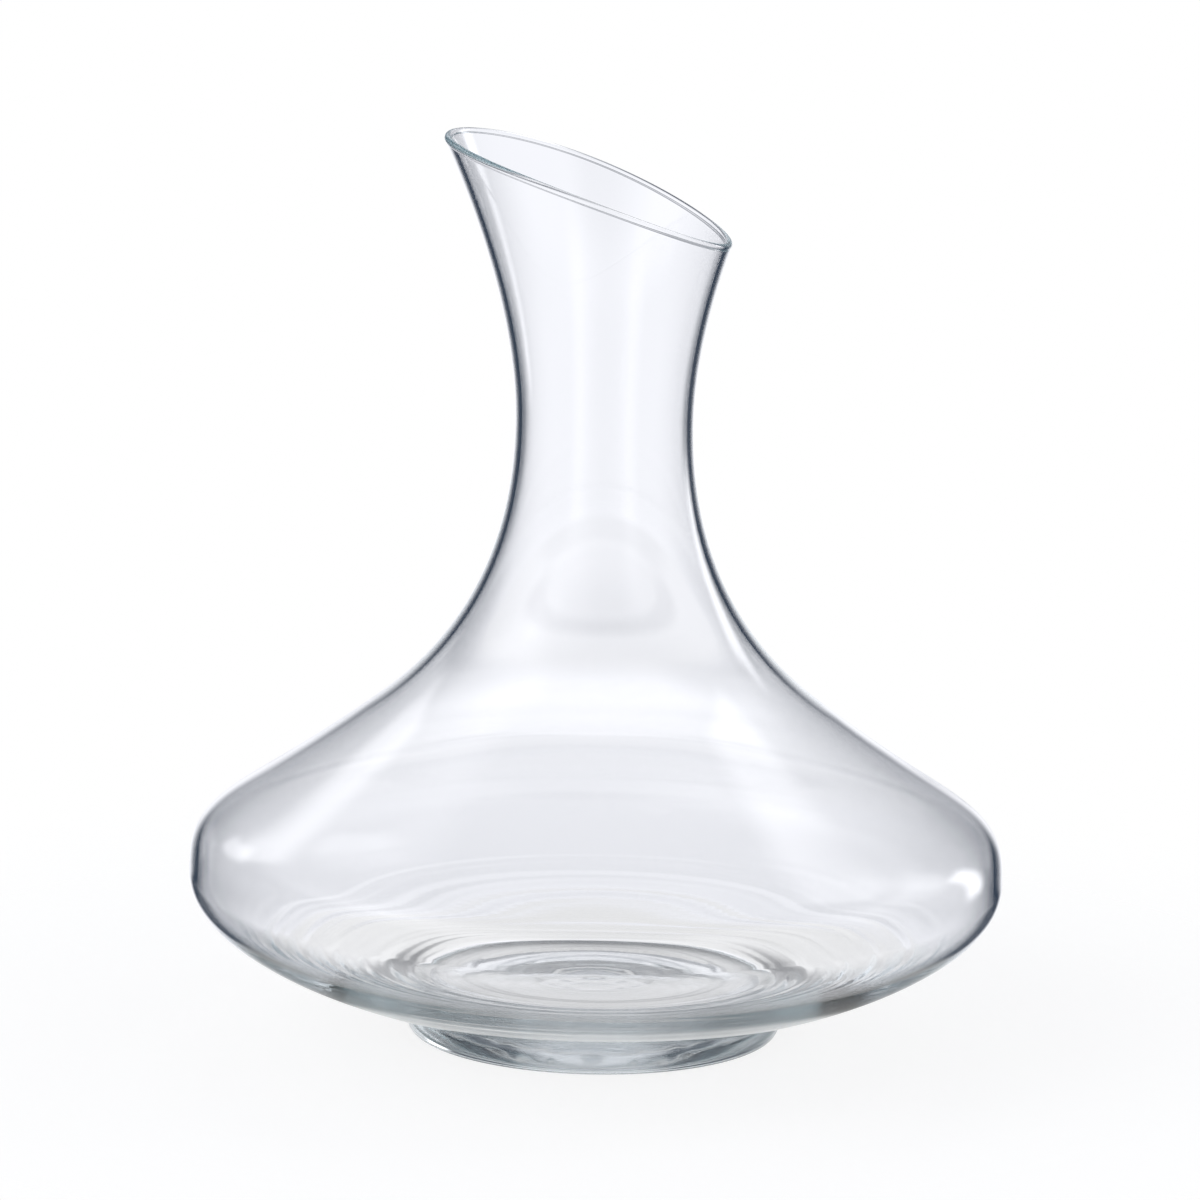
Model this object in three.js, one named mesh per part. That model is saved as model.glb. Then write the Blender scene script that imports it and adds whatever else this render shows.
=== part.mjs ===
// Wine decanter: a wide blown glass bowl with a narrow neck, a slanted pouring lip and a solid glass foot.
// Millimetres, +Z up. The origin is the centre of the foot's resting plane, and the lip is highest at -X.
// Every outline is drawn in the half plane (distance from the axis, height) and turned about the Z axis.

import * as THREE from 'three';

// Foot: a solid disc with a bulging side and a shallow dome hollowed out of its underside.
const FOOT_HEIGHT = 8.0;
const FOOT_TOP_RADIUS = 49.3;
const FOOT_BULGE_RADIUS = 50.0;
const FOOT_BULGE_HEIGHT = 5.0;
const FOOT_REST_OUTER_RADIUS = 47.5;
const FOOT_REST_INNER_RADIUS = 43.0;
const FOOT_DOME_HEIGHT = 2.5;
const FOOT_EDGE_HANDLE = 2.0;
const FOOT_BULGE_HANDLE_BELOW = 2.5;
const FOOT_BULGE_HANDLE_ABOVE = 1.5;

// Vessel: named points of the outer outline, from the widest point up over the shoulder to the neck's waist.
const BELLY_RADIUS = 108.0;
const BELLY_HEIGHT = 42.4;
const SHOULDER_RADIUS = 62.0;
const SHOULDER_HEIGHT = 86.0;
const WAIST_RADIUS = 23.3;
const WAIST_HEIGHT = 164.0;

// The end of the neck's flare. It is drawn past the lip, which trims it.
const FLARE_RADIUS = 48.0;
const FLARE_HEIGHT = 250.0;

// Slopes of the outer outline, in degrees: two from the horizontal, the flare's from the vertical.
const UNDERSIDE_ANGLE = 13.0;
const SHOULDER_ANGLE = 37.5;
const FLARE_ANGLE = 25.0;

// Handles of the outer outline: how far it is drawn out along its direction on each side of a named point.
const UNDERSIDE_HANDLE = 23.5;
const BELLY_HANDLE_BELOW = 16.5;
const BELLY_HANDLE_ABOVE = 18.0;
const SHOULDER_HANDLE_BELOW = 52.0;
const SHOULDER_HANDLE_ABOVE = 13.5;
const WAIST_HANDLE_BELOW = 48.5;
const WAIST_HANDLE_ABOVE = 33.0;
const FLARE_HANDLE = 20.0;

// Lip: a slanted, slightly crowned edge, melted into a round bead a little thicker than the wall.
const LIP_HEIGHT_ON_AXIS = 226.2;
const LIP_SLOPE_ANGLE = 20.5;
const LIP_CROWN_PER_MM = 0.0017;
const LIP_BEAD_RADIUS = 0.94;

// Share of the neck's outline that the bead takes up below the lip.
const LIP_BEAD_SHARE = 0.012;

// Thickness of the blown wall, measured square to the outer surface.
const BELLY_WALL = 2.1;
const SHOULDER_WALL = 2.0;
const WAIST_WALL = 1.6;
const FLARE_WALL = 1.6;

// Inside of the bowl's base, where the glass is thick.
const FLOOR_CENTRE_HEIGHT = 12.4;
const FLOOR_EDGE_RADIUS = 44.0;
const FLOOR_EDGE_HEIGHT = 13.2;
const FLOOR_EDGE_ANGLE = 6.0;
const FLOOR_CENTRE_HANDLE = 12.0;
const FLOOR_EDGE_HANDLE_INWARD = 16.0;
const FLOOR_EDGE_HANDLE_OUTWARD = 26.0;
const INNER_BELLY_HANDLE = 16.0;

// Facets: segments around the axis, and rings along each stretch of outline.
const SEGMENTS = 64;
const UNDERSIDE_RINGS = 7;
const BELLY_RINGS = 6;
const SHOULDER_RINGS = 7;
const NECK_RINGS = 5;
const LIP_RINGS = 8;
const FLOOR_RINGS = 3;
const FOOT_DOME_RINGS = 4;
const FOOT_SIDE_RINGS = 3;

// Halvings that find where the lip trims the neck.
const TRIM_STEPS = 30;

const UP = 90;
const DOWN = -90;
const OUTWARD = 0;
const INWARD = 180;

const { degToRad, lerp, smoothstep } = THREE.MathUtils;

function point(radius, height) {
  return new THREE.Vector2(radius, height);
}

/** A handle of the given length, pointing at an angle in degrees from the outward horizontal. */
function handle(length, degrees) {
  const angle = degToRad(degrees);
  return point(length * Math.cos(angle), length * Math.sin(angle));
}

/** A smooth curve between two points, shaped by a handle at each. */
function curve(start, startHandle, end, endHandle) {
  return new THREE.CubicBezierCurve(
    start,
    start.clone().add(startHandle),
    end.clone().add(endHandle),
    end,
  );
}

/** A stretch of blown wall: its outer outline, and its thickness at the outline's start and end. */
function wall(outline, startThickness, endThickness) {
  return { outline, startThickness, endThickness };
}

/** A point `depth` wall thicknesses below the outer surface, where the outline has run the share `t`. */
function pointInWall(stretch, t, depth) {
  const along = stretch.outline.getTangent(t);
  const outward = point(along.y, -along.x);
  const thickness = lerp(stretch.startThickness, stretch.endThickness, smoothstep(t, 0, 1));
  return stretch.outline.getPoint(t).addScaledVector(outward, -depth * thickness);
}

function bellyWall() {
  return wall(
    curve(
      point(BELLY_RADIUS, BELLY_HEIGHT),
      handle(BELLY_HANDLE_ABOVE, UP),
      point(SHOULDER_RADIUS, SHOULDER_HEIGHT),
      handle(SHOULDER_HANDLE_BELOW, -SHOULDER_ANGLE),
    ),
    BELLY_WALL,
    SHOULDER_WALL,
  );
}

function shoulderWall() {
  return wall(
    curve(
      point(SHOULDER_RADIUS, SHOULDER_HEIGHT),
      handle(SHOULDER_HANDLE_ABOVE, INWARD - SHOULDER_ANGLE),
      point(WAIST_RADIUS, WAIST_HEIGHT),
      handle(WAIST_HANDLE_BELOW, DOWN),
    ),
    SHOULDER_WALL,
    WAIST_WALL,
  );
}

function neckWall() {
  return wall(
    curve(
      point(WAIST_RADIUS, WAIST_HEIGHT),
      handle(WAIST_HANDLE_ABOVE, UP),
      point(FLARE_RADIUS, FLARE_HEIGHT),
      handle(FLARE_HANDLE, DOWN - FLARE_ANGLE),
    ),
    WAIST_WALL,
    FLARE_WALL,
  );
}

function undersideOutline() {
  return curve(
    point(FOOT_TOP_RADIUS, FOOT_HEIGHT),
    handle(UNDERSIDE_HANDLE, UNDERSIDE_ANGLE),
    point(BELLY_RADIUS, BELLY_HEIGHT),
    handle(BELLY_HANDLE_BELOW, DOWN),
  );
}

/** Inside of the bowl from its widest point down to the edge of the floor. */
function innerUndersideOutline() {
  return curve(
    point(BELLY_RADIUS - BELLY_WALL, BELLY_HEIGHT),
    handle(INNER_BELLY_HANDLE, DOWN),
    point(FLOOR_EDGE_RADIUS, FLOOR_EDGE_HEIGHT),
    handle(FLOOR_EDGE_HANDLE_OUTWARD, FLOOR_EDGE_ANGLE),
  );
}

function floorOutline() {
  return curve(
    point(FLOOR_EDGE_RADIUS, FLOOR_EDGE_HEIGHT),
    handle(FLOOR_EDGE_HANDLE_INWARD, INWARD + FLOOR_EDGE_ANGLE),
    point(0, FLOOR_CENTRE_HEIGHT),
    handle(FLOOR_CENTRE_HANDLE, OUTWARD),
  );
}

/** Height of the middle of the lip's bead, at distance `x` along the slope of the lip. */
function lipHeight(x) {
  return LIP_HEIGHT_ON_AXIS - x * Math.tan(degToRad(LIP_SLOPE_ANGLE)) - LIP_CROWN_PER_MM * x * x;
}

/** The share of the neck's outline that is left below the lip at this angle around the axis. */
function neckTrim(outline, angle) {
  let below = 0;
  let above = 1;
  for (let i = 0; i < TRIM_STEPS; i += 1) {
    const middle = (below + above) / 2;
    const { x: radius, y: height } = outline.getPoint(middle);
    if (height < lipHeight(radius * Math.cos(angle))) {
      below = middle;
    } else {
      above = middle;
    }
  }
  return below;
}

/** A point on the bead that closes the wall at the lip; `share` runs from the outer to the inner surface. */
function lipPoint(stretch, t, share) {
  const along = stretch.outline.getTangent(t);
  const outer = pointInWall(stretch, t, 0);
  const middle = pointInWall(stretch, t, 0.5);
  const outward = outer.clone().sub(middle);
  const belowWall = Math.acos(outward.length() / LIP_BEAD_RADIUS);
  const turn = lerp(-belowWall, Math.PI + belowWall, share);
  outward.setLength(LIP_BEAD_RADIUS);
  return middle
    .clone()
    .addScaledVector(outward, Math.cos(turn))
    .addScaledVector(along, LIP_BEAD_RADIUS * Math.sin(turn));
}

/** Shares 1/count, 2/count ... 1 of a stretch. The stretch before it has already given the ring at 0. */
function shares(count) {
  return Array.from({ length: count }, (_, i) => (i + 1) / count);
}

/** Rings that follow an outline which is the same all the way round. */
function outlineRings(outline, count) {
  return shares(count).map((t) => () => outline.getPoint(t));
}

/** Closed body turned about Z. Each ring gives its point at an angle; the first and last are on the axis. */
function turnedBody(rings) {
  const middleRings = rings.slice(1, -1);
  const positions = [];
  for (const ring of middleRings) {
    for (let j = 0; j < SEGMENTS; j += 1) {
      const angle = (2 * Math.PI * j) / SEGMENTS;
      const { x: radius, y: height } = ring(angle);
      positions.push(radius * Math.cos(angle), radius * Math.sin(angle), height);
    }
  }
  const firstPole = positions.length / 3;
  const lastPole = firstPole + 1;
  positions.push(0, 0, rings.at(0)().y);
  positions.push(0, 0, rings.at(-1)().y);

  const indices = [];
  const lastRow = (middleRings.length - 1) * SEGMENTS;
  for (let j = 0; j < SEGMENTS; j += 1) {
    const next = (j + 1) % SEGMENTS;
    indices.push(firstPole, next, j);
    for (let row = 0; row < lastRow; row += SEGMENTS) {
      const above = row + SEGMENTS;
      indices.push(row + j, row + next, above + next);
      indices.push(row + j, above + next, above + j);
    }
    indices.push(lastRow + j, lastRow + next, lastPole);
  }

  const geometry = new THREE.BufferGeometry();
  geometry.setAttribute('position', new THREE.Float32BufferAttribute(positions, 3));
  geometry.setIndex(indices);
  geometry.computeVertexNormals();
  return geometry;
}

function vesselGeometry() {
  const belly = bellyWall();
  const shoulder = shoulderWall();
  const neck = neckWall();
  const wallRings = (stretch, count, depth) =>
    [0, ...shares(count)].map((t) => () => pointInWall(stretch, t, depth));
  const neckEnd = (angle) => neckTrim(neck.outline, angle) - LIP_BEAD_SHARE;
  const neckRings = (depth) =>
    shares(NECK_RINGS).map((t) => (angle) => pointInWall(neck, t * neckEnd(angle), depth));
  const lipRings = [0, ...shares(LIP_RINGS)].map((share) => (angle) =>
    lipPoint(neck, neckTrim(neck.outline, angle), share),
  );

  return turnedBody([
    () => point(0, FOOT_HEIGHT),
    () => point(FOOT_TOP_RADIUS, FOOT_HEIGHT),
    ...outlineRings(undersideOutline(), UNDERSIDE_RINGS),
    ...wallRings(belly, BELLY_RINGS, 0).slice(1),
    ...wallRings(shoulder, SHOULDER_RINGS, 0).slice(1),
    ...neckRings(0),
    ...lipRings,
    ...neckRings(1).reverse(),
    ...wallRings(shoulder, SHOULDER_RINGS, 1).reverse(),
    ...wallRings(belly, BELLY_RINGS, 1).reverse().slice(1),
    ...outlineRings(innerUndersideOutline(), UNDERSIDE_RINGS),
    ...outlineRings(floorOutline(), FLOOR_RINGS),
  ]);
}

/** Outline of the foot's dome, from its top on the axis to the resting ring. */
function footDomeOutline() {
  const rise = FOOT_DOME_HEIGHT;
  const reach = FOOT_REST_INNER_RADIUS;
  const radius = (rise * rise + reach * reach) / (2 * rise);
  const halfAngle = Math.asin(reach / radius);
  return new THREE.ArcCurve(0, rise - radius, radius, Math.PI / 2, Math.PI / 2 - halfAngle, true);
}

function footGeometry() {
  const bulge = point(FOOT_BULGE_RADIUS, FOOT_BULGE_HEIGHT);
  const lowerSide = curve(
    point(FOOT_REST_OUTER_RADIUS, 0),
    handle(FOOT_EDGE_HANDLE, OUTWARD),
    bulge,
    handle(FOOT_BULGE_HANDLE_BELOW, DOWN),
  );
  const upperSide = curve(
    bulge,
    handle(FOOT_BULGE_HANDLE_ABOVE, UP),
    point(FOOT_TOP_RADIUS, FOOT_HEIGHT),
    point(0, 0),
  );
  return turnedBody([
    () => point(0, FOOT_DOME_HEIGHT),
    ...outlineRings(footDomeOutline(), FOOT_DOME_RINGS),
    () => point(FOOT_REST_OUTER_RADIUS, 0),
    ...outlineRings(lowerSide, FOOT_SIDE_RINGS),
    ...outlineRings(upperSide, FOOT_SIDE_RINGS),
    () => point(0, FOOT_HEIGHT),
  ]);
}

function glassPiece(name, geometry) {
  const material = new THREE.MeshStandardMaterial({
    name: 'clear_glass',
    color: 0xe6eef0,
    roughness: 0.02,
    transparent: true,
    opacity: 0.35,
  });
  const mesh = new THREE.Mesh(geometry, material);
  mesh.name = name;
  return mesh;
}

const decanter = new THREE.Group();
decanter.name = 'wine_decanter';
decanter.add(glassPiece('vessel', vesselGeometry()));
decanter.add(glassPiece('foot', footGeometry()));

export default decanter;
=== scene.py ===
"""Wine decanter of clear blown glass on a pale floor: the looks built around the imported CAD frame."""

from math import acos, asin, cos, exp, pi, radians, sin, tan

import bmesh
import bpy
from mathutils import Matrix, Vector


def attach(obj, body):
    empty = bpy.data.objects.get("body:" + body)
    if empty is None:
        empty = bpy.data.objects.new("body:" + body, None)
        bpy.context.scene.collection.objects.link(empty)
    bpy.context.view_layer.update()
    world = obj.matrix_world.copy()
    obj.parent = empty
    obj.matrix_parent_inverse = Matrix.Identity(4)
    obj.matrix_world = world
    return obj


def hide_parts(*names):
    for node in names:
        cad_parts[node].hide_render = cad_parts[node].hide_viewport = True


MM = 0.001
WHITE = (1.0, 1.0, 1.0, 1.0)

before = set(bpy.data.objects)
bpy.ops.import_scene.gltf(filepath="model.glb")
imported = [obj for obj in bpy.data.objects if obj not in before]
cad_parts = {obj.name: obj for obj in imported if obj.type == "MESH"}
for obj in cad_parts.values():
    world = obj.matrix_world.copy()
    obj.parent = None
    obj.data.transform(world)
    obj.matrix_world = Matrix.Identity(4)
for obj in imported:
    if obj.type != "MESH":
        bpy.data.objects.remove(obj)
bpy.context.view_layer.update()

# ------------------------------------------------------- dimensions, in millimetres
# The outlines and the walls are the CAD part's own, but for the height of the lip.

# The foot: a solid disc with a rounded side, standing on a flat ring round a shallow dome.
FOOT_HEIGHT = 8.0
FOOT_TOP_RADIUS = 49.3
FOOT_BULGE_RADIUS = 50.0
FOOT_BULGE_HEIGHT = 5.0
FOOT_REST_OUTER_RADIUS = 47.5
FOOT_REST_INNER_RADIUS = 43.0
FOOT_DOME_HEIGHT = 2.5
FOOT_EDGE_HANDLE = 2.0
FOOT_BULGE_HANDLE_BELOW = 2.5
FOOT_BULGE_HANDLE_ABOVE = 1.5

# The outside of the vessel: four curves, from the foot by the belly, shoulder and waist to the flare.
BELLY_RADIUS = 108.0
BELLY_HEIGHT = 42.4
SHOULDER_RADIUS = 62.0
SHOULDER_HEIGHT = 86.0
WAIST_RADIUS = 23.3
WAIST_HEIGHT = 164.0
FLARE_RADIUS = 48.0
FLARE_HEIGHT = 250.0

UNDERSIDE_ANGLE = 13.0
SHOULDER_ANGLE = 37.5
FLARE_ANGLE = 25.0

UNDERSIDE_HANDLE = 23.5
BELLY_HANDLE_BELOW = 16.5
BELLY_HANDLE_ABOVE = 18.0
SHOULDER_HANDLE_BELOW = 52.0
SHOULDER_HANDLE_ABOVE = 13.5
WAIST_HANDLE_BELOW = 48.5
WAIST_HANDLE_ABOVE = 33.0
FLARE_HANDLE = 20.0

# The lip: a slanted and slightly crowned line, where the neck ends in a small round bead. It is 0.1 mm lower
# than in the CAD part, so that its finer bead stays inside that part's box.
LIP_HEIGHT_ON_AXIS = 226.1
LIP_SLOPE_ANGLE = 20.5
LIP_CROWN_PER_MM = 0.0017
LIP_BEAD_RADIUS = 0.94
LIP_BEAD_SHARE = 0.012

BELLY_WALL = 2.1
SHOULDER_WALL = 2.0
WAIST_WALL = 1.6
FLARE_WALL = 1.6

# The inside of the base: a thick floor that runs out into the wall of the belly.
FLOOR_CENTRE_HEIGHT = 12.4
FLOOR_EDGE_RADIUS = 44.0
FLOOR_EDGE_HEIGHT = 13.2
FLOOR_EDGE_ANGLE = 6.0
FLOOR_CENTRE_HANDLE = 12.0
FLOOR_EDGE_HANDLE_INWARD = 16.0
FLOOR_EDGE_HANDLE_OUTWARD = 26.0
INNER_BELLY_HANDLE = 16.0

# Marks of the making: shallow rings left in the inside of the base, as radius, height and width of each.
FLOOR_RIDGES = (
    (0.0, 0.30, 2.2),
    (9.0, 0.05, 1.3),
    (17.0, -0.12, 1.7),
    (25.0, 0.07, 1.3),
    (31.0, -0.10, 1.5),
    (36.5, 0.12, 1.4),
    (40.5, -0.12, 1.3),
    (44.5, -0.35, 2.4),
    (50.0, 0.25, 2.2),
    (56.0, -0.14, 2.0),
    (62.0, 0.12, 2.0),
)
# Fine waves of the blown glass: height, wavelength, turns round the axis and phase of each.
BASE_WAVES = (
    (0.060, 6.5, 0, 0.4),
    (0.045, 3.7, 1, 2.1),
    (0.026, 2.6, 3, 4.0),
)
WAVES_START_RADIUS = 30.0
WAVES_FULL_RADIUS = 55.0
WAVES_FADE_RADIUS = 85.0
WAVES_END_RADIUS = 100.0

# Meshes: segments round the axis, rings along each stretch, and halvings that find where the neck ends.
SEGMENTS = 200
BASE_RINGS = 4
UNDERSIDE_RINGS = 40
BELLY_RINGS = 36
SHOULDER_RINGS = 44
NECK_RINGS = 36
LIP_RINGS = 24
INNER_UNDERSIDE_RINGS = 100
FLOOR_RINGS = 90
FOOT_DOME_RINGS = 60
FOOT_SIDE_RINGS = 12
TRIM_STEPS = 30
# The two pieces overlap by this much, so that no thin layer of air shows where they are fused.
FUSED_DEPTH = 0.03


# ---------------------------------------------------------------- outlines
def point(radius, height):
    """A point of an outline."""
    return Vector((radius, height))


def handle(length, degrees):
    """A handle of that length, turned up from straight outwards."""
    return Vector((length * cos(radians(degrees)), length * sin(radians(degrees))))


def smooth_step(value, low, high):
    """0 below low, 1 above high, and a soft rise between them."""
    x = min(max((value - low) / (high - low), 0.0), 1.0)
    return x * x * (3 - 2 * x)


class Curve:
    """A cubic Bezier between two points with a handle at each."""

    def __init__(self, start, start_handle, end, end_handle):
        self.p = (start, start + start_handle, end + end_handle, end)

    def at(self, t):
        """The point at t, from 0 to 1."""
        a, b, c, d = self.p
        s = 1 - t
        return a * s**3 + b * (3 * s * s * t) + c * (3 * s * t * t) + d * t**3

    def along(self, t):
        """The direction of the curve at t, of length 1."""
        a, b, c, d = self.p
        s = 1 - t
        v = (b - a) * (s * s) + (c - b) * (2 * s * t) + (d - c) * (t * t)
        return v.normalized()


class Wall:
    """A stretch of wall: its outer outline, and its thickness at the start and at the end of it."""

    def __init__(self, outline, start, end):
        self.outline = outline
        self.start = start
        self.end = end

    def at(self, t, depth):
        """The point at t and at a depth from 0, the outer face, to 1, the inner face."""
        v = self.outline.along(t)
        out = Vector((v.y, -v.x))
        thickness = self.start + (self.end - self.start) * smooth_step(t, 0, 1)
        return self.outline.at(t) - out * (depth * thickness)


FOOT_TOP = point(FOOT_TOP_RADIUS, FOOT_HEIGHT)
FOOT_BULGE = point(FOOT_BULGE_RADIUS, FOOT_BULGE_HEIGHT)
BELLY = point(BELLY_RADIUS, BELLY_HEIGHT)
SHOULDER = point(SHOULDER_RADIUS, SHOULDER_HEIGHT)
WAIST = point(WAIST_RADIUS, WAIST_HEIGHT)
FLARE = point(FLARE_RADIUS, FLARE_HEIGHT)
INNER_BELLY = point(BELLY_RADIUS - BELLY_WALL, BELLY_HEIGHT)
FLOOR_EDGE = point(FLOOR_EDGE_RADIUS, FLOOR_EDGE_HEIGHT)
FLOOR_CENTRE = point(0, FLOOR_CENTRE_HEIGHT)

belly_outline = Curve(
    BELLY, handle(BELLY_HANDLE_ABOVE, 90),
    SHOULDER, handle(SHOULDER_HANDLE_BELOW, -SHOULDER_ANGLE),
)
shoulder_outline = Curve(
    SHOULDER, handle(SHOULDER_HANDLE_ABOVE, 180 - SHOULDER_ANGLE),
    WAIST, handle(WAIST_HANDLE_BELOW, -90),
)
neck_outline = Curve(
    WAIST, handle(WAIST_HANDLE_ABOVE, 90),
    FLARE, handle(FLARE_HANDLE, -90 - FLARE_ANGLE),
)
belly = Wall(belly_outline, BELLY_WALL, SHOULDER_WALL)
shoulder = Wall(shoulder_outline, SHOULDER_WALL, WAIST_WALL)
neck = Wall(neck_outline, WAIST_WALL, FLARE_WALL)

underside = Curve(
    FOOT_TOP, handle(UNDERSIDE_HANDLE, UNDERSIDE_ANGLE),
    BELLY, handle(BELLY_HANDLE_BELOW, -90),
)
inner_underside = Curve(
    INNER_BELLY, handle(INNER_BELLY_HANDLE, -90),
    FLOOR_EDGE, handle(FLOOR_EDGE_HANDLE_OUTWARD, FLOOR_EDGE_ANGLE),
)
inner_floor = Curve(
    FLOOR_EDGE, handle(FLOOR_EDGE_HANDLE_INWARD, 180 + FLOOR_EDGE_ANGLE),
    FLOOR_CENTRE, handle(FLOOR_CENTRE_HANDLE, 0),
)
lower_foot_side = Curve(
    point(FOOT_REST_OUTER_RADIUS, 0), handle(FOOT_EDGE_HANDLE, 0),
    FOOT_BULGE, handle(FOOT_BULGE_HANDLE_BELOW, -90),
)
upper_foot_side = Curve(
    FOOT_BULGE, handle(FOOT_BULGE_HANDLE_ABOVE, 90),
    point(FOOT_TOP_RADIUS, FOOT_HEIGHT + FUSED_DEPTH), point(0, 0),
)


# ---------------------------------------------------------------- rings
# A ring is a function that gives the point of an outline at each segment round the axis.
def segment_angle(segment):
    return 2 * pi * segment / SEGMENTS


def shares(n):
    """The shares 1/n, 2/n and so on up to 1."""
    return [(i + 1) / n for i in range(n)]


def level_rings(points):
    """A ring through each point, the same all the way round."""
    return [lambda j, p=p: p for p in points]


def curve_rings(curve, n):
    """Rings along a curve, without its start."""
    return level_rings([curve.at(t) for t in shares(n)])


def outer_rings(wall, n):
    """Rings up the outer face of a wall, without its start."""
    return level_rings([wall.at(t, 0) for t in shares(n)])


def inner_rings(wall, n):
    """Rings down the inner face of a wall, from its end to its start."""
    return level_rings([wall.at(t, 1) for t in [0.0] + shares(n)])[::-1]


def lip_height(x):
    """Height of the lip's line, which is highest at -X."""
    return LIP_HEIGHT_ON_AXIS - x * tan(radians(LIP_SLOPE_ANGLE)) - LIP_CROWN_PER_MM * x * x


def neck_trim(angle):
    """Share of the neck's outline that lies below the lip, at that angle round the axis."""
    low, high = 0.0, 1.0
    for _ in range(TRIM_STEPS):
        mid = (low + high) / 2
        p = neck.outline.at(mid)
        if p.y < lip_height(p.x * cos(angle)):
            low = mid
        else:
            high = mid
    return low


TRIMS = [neck_trim(segment_angle(j)) for j in range(SEGMENTS)]


def neck_rings(depth):
    """Rings up the neck at that depth in its wall, ending just below the bead."""
    return [lambda j, t=t: neck.at(t * (TRIMS[j] - LIP_BEAD_SHARE), depth) for t in shares(NECK_RINGS)]


def lip_point(t, share):
    """A point of the bead at t on the neck: share 0 is its outer foot, and share 1 its inner foot."""
    along_neck = neck.outline.along(t)
    middle = neck.at(t, 0.5)
    outward = neck.at(t, 0) - middle
    below_wall = acos(outward.length / LIP_BEAD_RADIUS)
    turn = -below_wall + (pi + 2 * below_wall) * share
    return middle + LIP_BEAD_RADIUS * (outward.normalized() * cos(turn) + along_neck * sin(turn))


def lip_rings():
    return [lambda j, share=share: lip_point(TRIMS[j], share) for share in [0.0] + shares(LIP_RINGS)]


def base_relief(radius, angle):
    """Height that the making's marks add to the inside of the base."""
    ridges = sum(height * exp(-((radius - place) / width) ** 2) for place, height, width in FLOOR_RIDGES)
    waves = 0.0
    for height, length, turns, phase in BASE_WAVES:
        waves += height * sin(2 * pi * radius / length + turns * angle + phase)
    share = smooth_step(radius, WAVES_START_RADIUS, WAVES_FULL_RADIUS)
    share *= 1 - smooth_step(radius, WAVES_FADE_RADIUS, WAVES_END_RADIUS)
    return ridges + waves * share


def relief_rings(curve, n):
    """Rings along a curve of the inner base, without its start, with the marks of the making on them."""
    def ring(p):
        return lambda j: point(p.x, p.y + base_relief(p.x, segment_angle(j)))
    return [ring(curve.at(t)) for t in shares(n)]


# ---------------------------------------------------------------- pieces
def turned(name, rings):
    """Closed mesh turned about Z. Its first and last rings are points on the axis."""
    verts = []
    for ring in rings[1:-1]:
        for j in range(SEGMENTS):
            a = segment_angle(j)
            p = ring(j)
            verts.append((p.x * cos(a) * MM, p.x * sin(a) * MM, p.y * MM))
    first = len(verts)
    verts.append((0, 0, rings[0](0).y * MM))
    verts.append((0, 0, rings[-1](0).y * MM))
    faces = []
    last_row = (len(rings) - 3) * SEGMENTS
    for j in range(SEGMENTS):
        k = (j + 1) % SEGMENTS
        faces.append((first, k, j))
        for row in range(0, last_row, SEGMENTS):
            faces.append((row + j, row + k, row + SEGMENTS + k, row + SEGMENTS + j))
        faces.append((last_row + j, last_row + k, first + 1))
    mesh = bpy.data.meshes.new(name)
    mesh.from_pydata(verts, [], faces)
    mesh.shade_smooth()
    obj = bpy.data.objects.new(name, mesh)
    bpy.context.scene.collection.objects.link(obj)
    return obj


def disc_points(height):
    """Points from near the axis to the edge of the flat face where the two pieces are fused."""
    return [point(share * FOOT_TOP_RADIUS, height) for share in shares(BASE_RINGS)]


def vessel_piece():
    """The bowl, shoulder, neck and lip: out and up the outer face, over the lip and down the inner one."""
    return turned("vessel_glass", [
        *level_rings([point(0, FOOT_HEIGHT), *disc_points(FOOT_HEIGHT)]),
        *curve_rings(underside, UNDERSIDE_RINGS),
        *outer_rings(belly, BELLY_RINGS),
        *outer_rings(shoulder, SHOULDER_RINGS),
        *neck_rings(0),
        *lip_rings(),
        *neck_rings(1)[::-1],
        *inner_rings(shoulder, SHOULDER_RINGS),
        *inner_rings(belly, BELLY_RINGS)[1:],
        *relief_rings(inner_underside, INNER_UNDERSIDE_RINGS),
        *relief_rings(inner_floor, FLOOR_RINGS),
    ])


def foot_dome():
    """Points down the dome under the foot, an arc from beside the axis to the resting ring."""
    rise, reach = FOOT_DOME_HEIGHT, FOOT_REST_INNER_RADIUS
    radius = (rise * rise + reach * reach) / (2 * rise)
    half_angle = asin(reach / radius)
    return [
        point(radius * sin(half_angle * t), rise - radius + radius * cos(half_angle * t))
        for t in shares(FOOT_DOME_RINGS)
    ]


def foot_piece():
    """The solid disc under the bowl: out along the dome and its ring, up the side and in over the top."""
    top = FOOT_HEIGHT + FUSED_DEPTH
    return turned("foot_glass", [
        *level_rings([point(0, FOOT_DOME_HEIGHT), *foot_dome(), point(FOOT_REST_OUTER_RADIUS, 0)]),
        *curve_rings(lower_foot_side, FOOT_SIDE_RINGS),
        *curve_rings(upper_foot_side, FOOT_SIDE_RINGS),
        *level_rings([*disc_points(top)[:-1][::-1], point(0, top)]),
    ])


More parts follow.
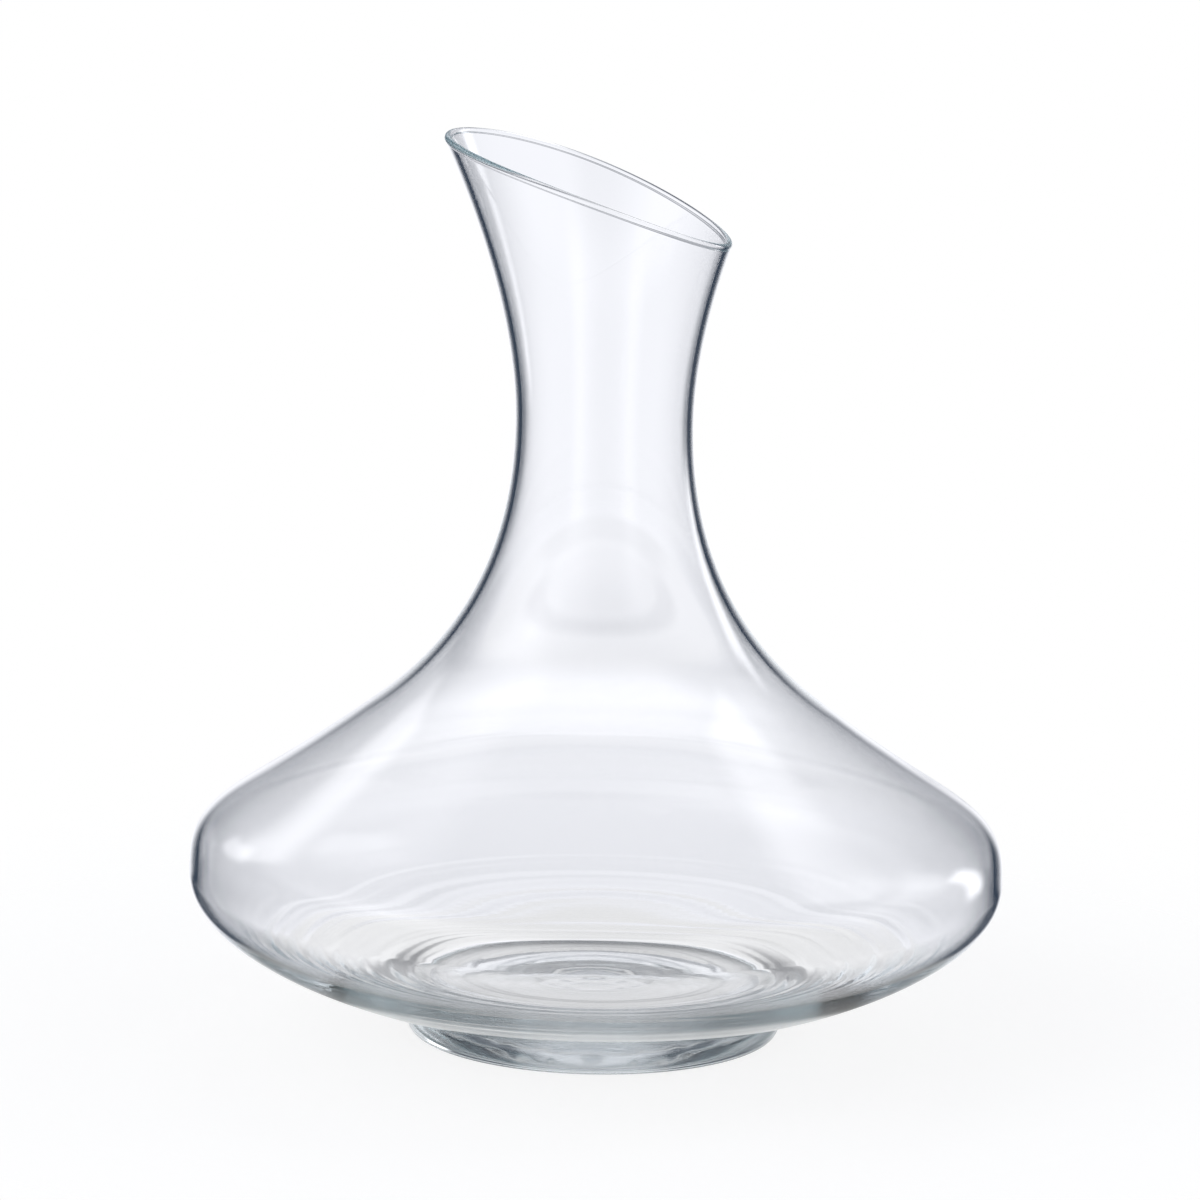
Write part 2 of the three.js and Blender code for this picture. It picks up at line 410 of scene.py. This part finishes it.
# ---------------------------------------------------------------- node trees
class Tree:
    """A node tree that is built from nothing, with short calls for the nodes used here."""

    def __init__(self, owner):
        owner.use_nodes = True
        self.tree = owner.node_tree
        self.tree.nodes.clear()

    def node(self, kind, inputs=None, **settings):
        """A new node. An input is given by its name or number, and is another node's output or a value."""
        node = self.tree.nodes.new(kind)
        for name, value in settings.items():
            setattr(node, name, value)
        for name, value in (inputs or {}).items():
            if isinstance(value, bpy.types.NodeSocket):
                self.tree.links.new(value, node.inputs[name])
            else:
                node.inputs[name].default_value = value
        return node

    def math(self, operation, *values):
        return self.node("ShaderNodeMath", dict(enumerate(values)), operation=operation).outputs[0]

    def fade(self, value, edge, feather, start=1.0, end=0.0):
        """`start` while the value is under the edge, falling softly to `end` at edge + feather."""
        limits = {
            "Value": value,
            "From Min": edge,
            "From Max": edge + feather,
            "To Min": start,
            "To Max": end,
        }
        return self.node("ShaderNodeMapRange", limits, interpolation_type="SMOOTHSTEP").outputs["Result"]

    def choose(self, share, first, second):
        """The first value where share is 0, the second where it is 1."""
        difference = self.math("SUBTRACT", second, first)
        return self.math("ADD", self.math("MULTIPLY", difference, share), first)


# ---------------------------------------------------------------- glass, in metres
GLASS_IOR = 1.52
ABSORPTION_COLOR = (0.30, 0.56, 0.62, 1.0)
ABSORPTION_DENSITY = 1.6

SURFACE_WAVE_SCALE = 22.0
SURFACE_WAVE_DETAIL = 2.0
SURFACE_WAVE_ROUGHNESS = 0.4
SURFACE_WAVE_HEIGHT = 0.00004

WEAR_HEIGHT = 0.0006
WEAR_FEATHER = 0.0008
WEAR_SCALE = 900.0
WEAR_DETAIL = 6.0
WEAR_GRAIN = 0.7
WEAR_ROUGHNESS = 0.25


def glass_material():
    """Clear blown glass: faint waves all over, a scuffed resting ring, and a cool tint in its depth."""
    material = bpy.data.materials.new("clear_glass")
    t = Tree(material)
    place = t.node("ShaderNodeTexCoord").outputs["Object"]

    waves = t.node("ShaderNodeTexNoise", {
        "Vector": place,
        "Scale": SURFACE_WAVE_SCALE,
        "Detail": SURFACE_WAVE_DETAIL,
        "Roughness": SURFACE_WAVE_ROUGHNESS,
    })
    bump = t.node("ShaderNodeBump", {
        "Height": waves.outputs["Fac"],
        "Strength": 1.0,
        "Distance": SURFACE_WAVE_HEIGHT,
    })

    height = t.node("ShaderNodeSeparateXYZ", {"Vector": place}).outputs["Z"]
    near_rest = t.fade(height, WEAR_HEIGHT, WEAR_FEATHER)
    scuffs = t.node("ShaderNodeTexNoise", {
        "Vector": place,
        "Scale": WEAR_SCALE,
        "Detail": WEAR_DETAIL,
        "Roughness": WEAR_GRAIN,
    })
    worn = t.math("MULTIPLY", near_rest, scuffs.outputs["Fac"])
    roughness = t.math("MULTIPLY", worn, WEAR_ROUGHNESS)

    surface = t.node("ShaderNodeBsdfPrincipled", {
        "Base Color": WHITE,
        "Roughness": roughness,
        "IOR": GLASS_IOR,
        "Transmission Weight": 1.0,
        "Normal": bump.outputs["Normal"],
    })
    volume = t.node("ShaderNodeVolumeAbsorption", {
        "Color": ABSORPTION_COLOR,
        "Density": ABSORPTION_DENSITY,
    })
    t.node("ShaderNodeOutputMaterial", {
        "Surface": surface.outputs["BSDF"],
        "Volume": volume.outputs["Volume"],
    })
    return material


vessel = vessel_piece()
foot = foot_piece()
glass = glass_material()
for piece, node in ((vessel, "vessel"), (foot, "foot")):
    piece.data.materials.append(glass)
    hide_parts(node)
    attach(piece, "root")

# ---------------------------------------------------------------- floor, in metres
# A pale table. The camera sees all of it, softly lit, and it fades into the white room. The glass sees only
# the part close by, as painted light and shade that were fitted to the photograph: a painted shadow behind
# the foot, and painted light in front of the foot and under it. The table further out is given by the room's
# light below the horizon.
FLOOR_RADIUS = 0.30
FLOOR_SEGMENTS = 128
FLOOR_ROUGHNESS = 0.9
FLOOR_SEEN_ALBEDO = 0.30
FLOOR_SEEN_GLOW = 0.84
FLOOR_SEEN_SOLID = 0.13
FLOOR_SEEN_FEATHER = 0.17
FLOOR_NEAR_SOLID = 0.100
FLOOR_NEAR_FEATHER = 0.020

# Painted light and shade on the near table, as the glass sees it: under the foot, round the foot, and out
# under the edge of the bowl, with a painted shadow behind the foot and painted light in front of it.
PAINTED_LIGHT_UNDER_FOOT = 0.60
PAINTED_LIGHT_FRONT = 0.80
PAINTED_SHADOW_BEHIND = 0.04
PAINTED_SHADE_OUTER_FRONT = 0.32
PAINTED_LIGHT_OUTER_BEHIND = 0.85
UNDER_FOOT_RADIUS = 0.044
UNDER_FOOT_FEATHER = 0.004
INNER_TABLE_RADIUS = 0.061
INNER_TABLE_FEATHER = 0.011
FRONT_START = -0.010
FRONT_FEATHER = 0.050


def floor_material():
    """Matt pale table. What the glass sees of it is painted light and shade, with its own edge."""
    material = bpy.data.materials.new("pale_floor")
    t = Tree(material)
    place = t.node("ShaderNodeTexCoord").outputs["Object"]
    distance = t.node("ShaderNodeVectorMath", {0: place}, operation="LENGTH").outputs["Value"]
    depth = t.node("ShaderNodeSeparateXYZ", {"Vector": place}).outputs["Y"]
    seen = t.node("ShaderNodeLightPath").outputs["Is Camera Ray"]

    # Painted shadow behind the foot and painted light in front of it, seen only by rays through the glass.
    front = t.fade(depth, FRONT_START, FRONT_FEATHER)
    inner = t.choose(front, PAINTED_SHADOW_BEHIND, PAINTED_LIGHT_FRONT)
    outer = t.choose(front, PAINTED_LIGHT_OUTER_BEHIND, PAINTED_SHADE_OUTER_FRONT)
    open_table = t.choose(t.fade(distance, INNER_TABLE_RADIUS, INNER_TABLE_FEATHER), outer, inner)
    under = t.fade(distance, UNDER_FOOT_RADIUS, UNDER_FOOT_FEATHER)
    painted_near_light_and_shade = t.choose(under, open_table, PAINTED_LIGHT_UNDER_FOOT)

    albedo = t.math("MULTIPLY", seen, FLOOR_SEEN_ALBEDO)
    grey = t.node("ShaderNodeCombineColor", {"Red": albedo, "Green": albedo, "Blue": albedo})
    near_alpha = t.fade(distance, FLOOR_NEAR_SOLID, FLOOR_NEAR_FEATHER)
    seen_alpha = t.fade(distance, FLOOR_SEEN_SOLID, FLOOR_SEEN_FEATHER)
    surface = t.node("ShaderNodeBsdfPrincipled", {
        "Base Color": grey.outputs["Color"],
        "Roughness": FLOOR_ROUGHNESS,
        "Specular IOR Level": 0.0,
        "Emission Color": WHITE,
        "Emission Strength": t.choose(seen, painted_near_light_and_shade, FLOOR_SEEN_GLOW),
        "Alpha": t.choose(seen, near_alpha, seen_alpha),
    })
    t.node("ShaderNodeOutputMaterial", {"Surface": surface.outputs["BSDF"]})
    return material


def floor_disc():
    """The table's round face, level with the foot's resting ring."""
    form = bmesh.new()
    bmesh.ops.create_circle(form, cap_ends=True, segments=FLOOR_SEGMENTS, radius=FLOOR_RADIUS)
    mesh = bpy.data.meshes.new("floor")
    form.to_mesh(mesh)
    form.free()
    mesh.materials.append(floor_material())
    disc = bpy.data.objects.new("floor", mesh)
    bpy.context.scene.collection.objects.link(disc)
    return disc


floor_disc()

# ---------------------------------------------------------------- studio light
# Soft panels round the object. Angles are in degrees: azimuth is 0 at -Y, the camera's side, and 90 at +X.
# Each line: azimuth, half width, feather; elevation, half height, feather; strength.
PANELS = (
    (180, 9, 11, -50, 42, 10, 0.90),    # the lit table and backdrop, seen through the glass
    (180, 10, 12, 4, 6, 8, 0.30),       # the backdrop above the horizon
    (180, 8, 10, 32, 14, 14, 0.98),     # the overhead panel's far end
    (-62, 12, 55, -2, 40, 22, 0.98),    # large softbox on the left
    (82, 38, 28, -8, 38, 22, 0.65),     # large softbox on the right
    (0, 30, 20, -10, 30, 16, 0.60),     # fill round the camera
    (-105, 35, 25, 46, 9, 12, 0.50),    # panel high on the left
    (134, 2, 7, 7, 11, 7, 1.8),         # strip light, right and behind
    (122, 8, 12, 50, 4, 8, 1.0),        # small window, high on the right and behind
    (-143, 3, 7, 30, 3, 7, 0.80),       # small lamp, left and behind
    (-58, 10, 14, 28, 8, 8, 0.35),      # brighter patch, high in the left softbox
)
OVERHEAD_HALF_ANGLE = 25
OVERHEAD_FEATHER = 25
OVERHEAD_STRENGTH = 0.20
UNDERNEATH_HALF_ANGLE = 35
UNDERNEATH_FEATHER = 20
UNDERNEATH_STRENGTH = 0.52
AMBIENT = 0.06
AMBIENT_COLOR = (0.60, 0.85, 1.30, 1.0)
LIGHT_COLOR = (1.0, 0.995, 1.02, 1.0)


def studio():
    """The room: soft panels for the light that reaches the glass, and plain white for the camera."""
    world = bpy.data.worlds.new("studio")
    t = Tree(world)
    direction = t.node("ShaderNodeTexCoord").outputs["Generated"]
    x, y, z = t.node("ShaderNodeSeparateXYZ", {"Vector": direction}).outputs
    azimuth = t.math("DEGREES", t.math("ARCTAN2", x, t.math("MULTIPLY", y, -1.0)))
    elevation = t.math("DEGREES", t.math("ARCSINE", z))

    def panel(az, half_az, feather_az, el, half_el, feather_el, strength):
        turn = t.math("ABSOLUTE", t.math("SUBTRACT", azimuth, float(az)))
        turn = t.math("MINIMUM", turn, t.math("SUBTRACT", 360.0, turn))
        rise = t.math("ABSOLUTE", t.math("SUBTRACT", elevation, float(el)))
        across = t.fade(turn, half_az, feather_az)
        up = t.fade(rise, half_el, feather_el)
        return t.math("MULTIPLY", t.math("MULTIPLY", across, up), strength)

    from_zenith = t.math("SUBTRACT", 90.0, elevation)
    from_nadir = t.math("ADD", elevation, 90.0)
    overhead = t.fade(from_zenith, OVERHEAD_HALF_ANGLE, OVERHEAD_FEATHER, OVERHEAD_STRENGTH)
    underneath = t.fade(from_nadir, UNDERNEATH_HALF_ANGLE, UNDERNEATH_FEATHER, UNDERNEATH_STRENGTH)
    light = t.math("ADD", overhead, underneath)
    for values in PANELS:
        light = t.math("ADD", light, panel(*values))

    panels = t.node("ShaderNodeBackground", {"Color": LIGHT_COLOR, "Strength": light})
    shade = t.node("ShaderNodeBackground", {"Color": AMBIENT_COLOR, "Strength": AMBIENT})
    around = t.node("ShaderNodeAddShader", {0: panels.outputs[0], 1: shade.outputs[0]})
    white = t.node("ShaderNodeBackground", {"Color": WHITE, "Strength": 1.0})
    seen = t.node("ShaderNodeLightPath").outputs["Is Camera Ray"]
    room = t.node("ShaderNodeMixShader", {0: seen, 1: around.outputs[0], 2: white.outputs[0]})
    t.node("ShaderNodeOutputWorld", {"Surface": room.outputs[0]})
    return world


# ---------------------------------------------------------------- camera
CAMERA_DISTANCE = 2.112
CAMERA_ELEVATION = radians(12.0)
CAMERA_TARGET = Vector((-0.0003, 0, 0.1166))
CAMERA_ROLL = radians(1.1)
CAMERA_LENS = 240
CAMERA_SENSOR = 36


def camera():
    """A long lens in front of the decanter and a little above it."""
    data = bpy.data.cameras.new("camera")
    data.lens = CAMERA_LENS
    data.sensor_width = CAMERA_SENSOR
    eye = bpy.data.objects.new("camera", data)
    from_target = Vector((0, -cos(CAMERA_ELEVATION), sin(CAMERA_ELEVATION)))
    eye.location = CAMERA_TARGET + CAMERA_DISTANCE * from_target
    aim = (CAMERA_TARGET - eye.location).to_track_quat("-Z", "Y")
    eye.rotation_euler = (aim.to_matrix() @ Matrix.Rotation(CAMERA_ROLL, 3, "Z")).to_euler()
    bpy.context.scene.collection.objects.link(eye)
    return eye


# Light caught inside the wall only leaves it after hundreds of reflections, which Cycles counts as glossy.
REFLECTION_BOUNCES = 400
TRANSMISSION_BOUNCES = 64

scene = bpy.context.scene
scene.world = studio()
scene.camera = camera()
scene.view_settings.view_transform = "Standard"
scene.cycles.max_bounces = REFLECTION_BOUNCES
scene.cycles.transmission_bounces = TRANSMISSION_BOUNCES
scene.cycles.glossy_bounces = REFLECTION_BOUNCES
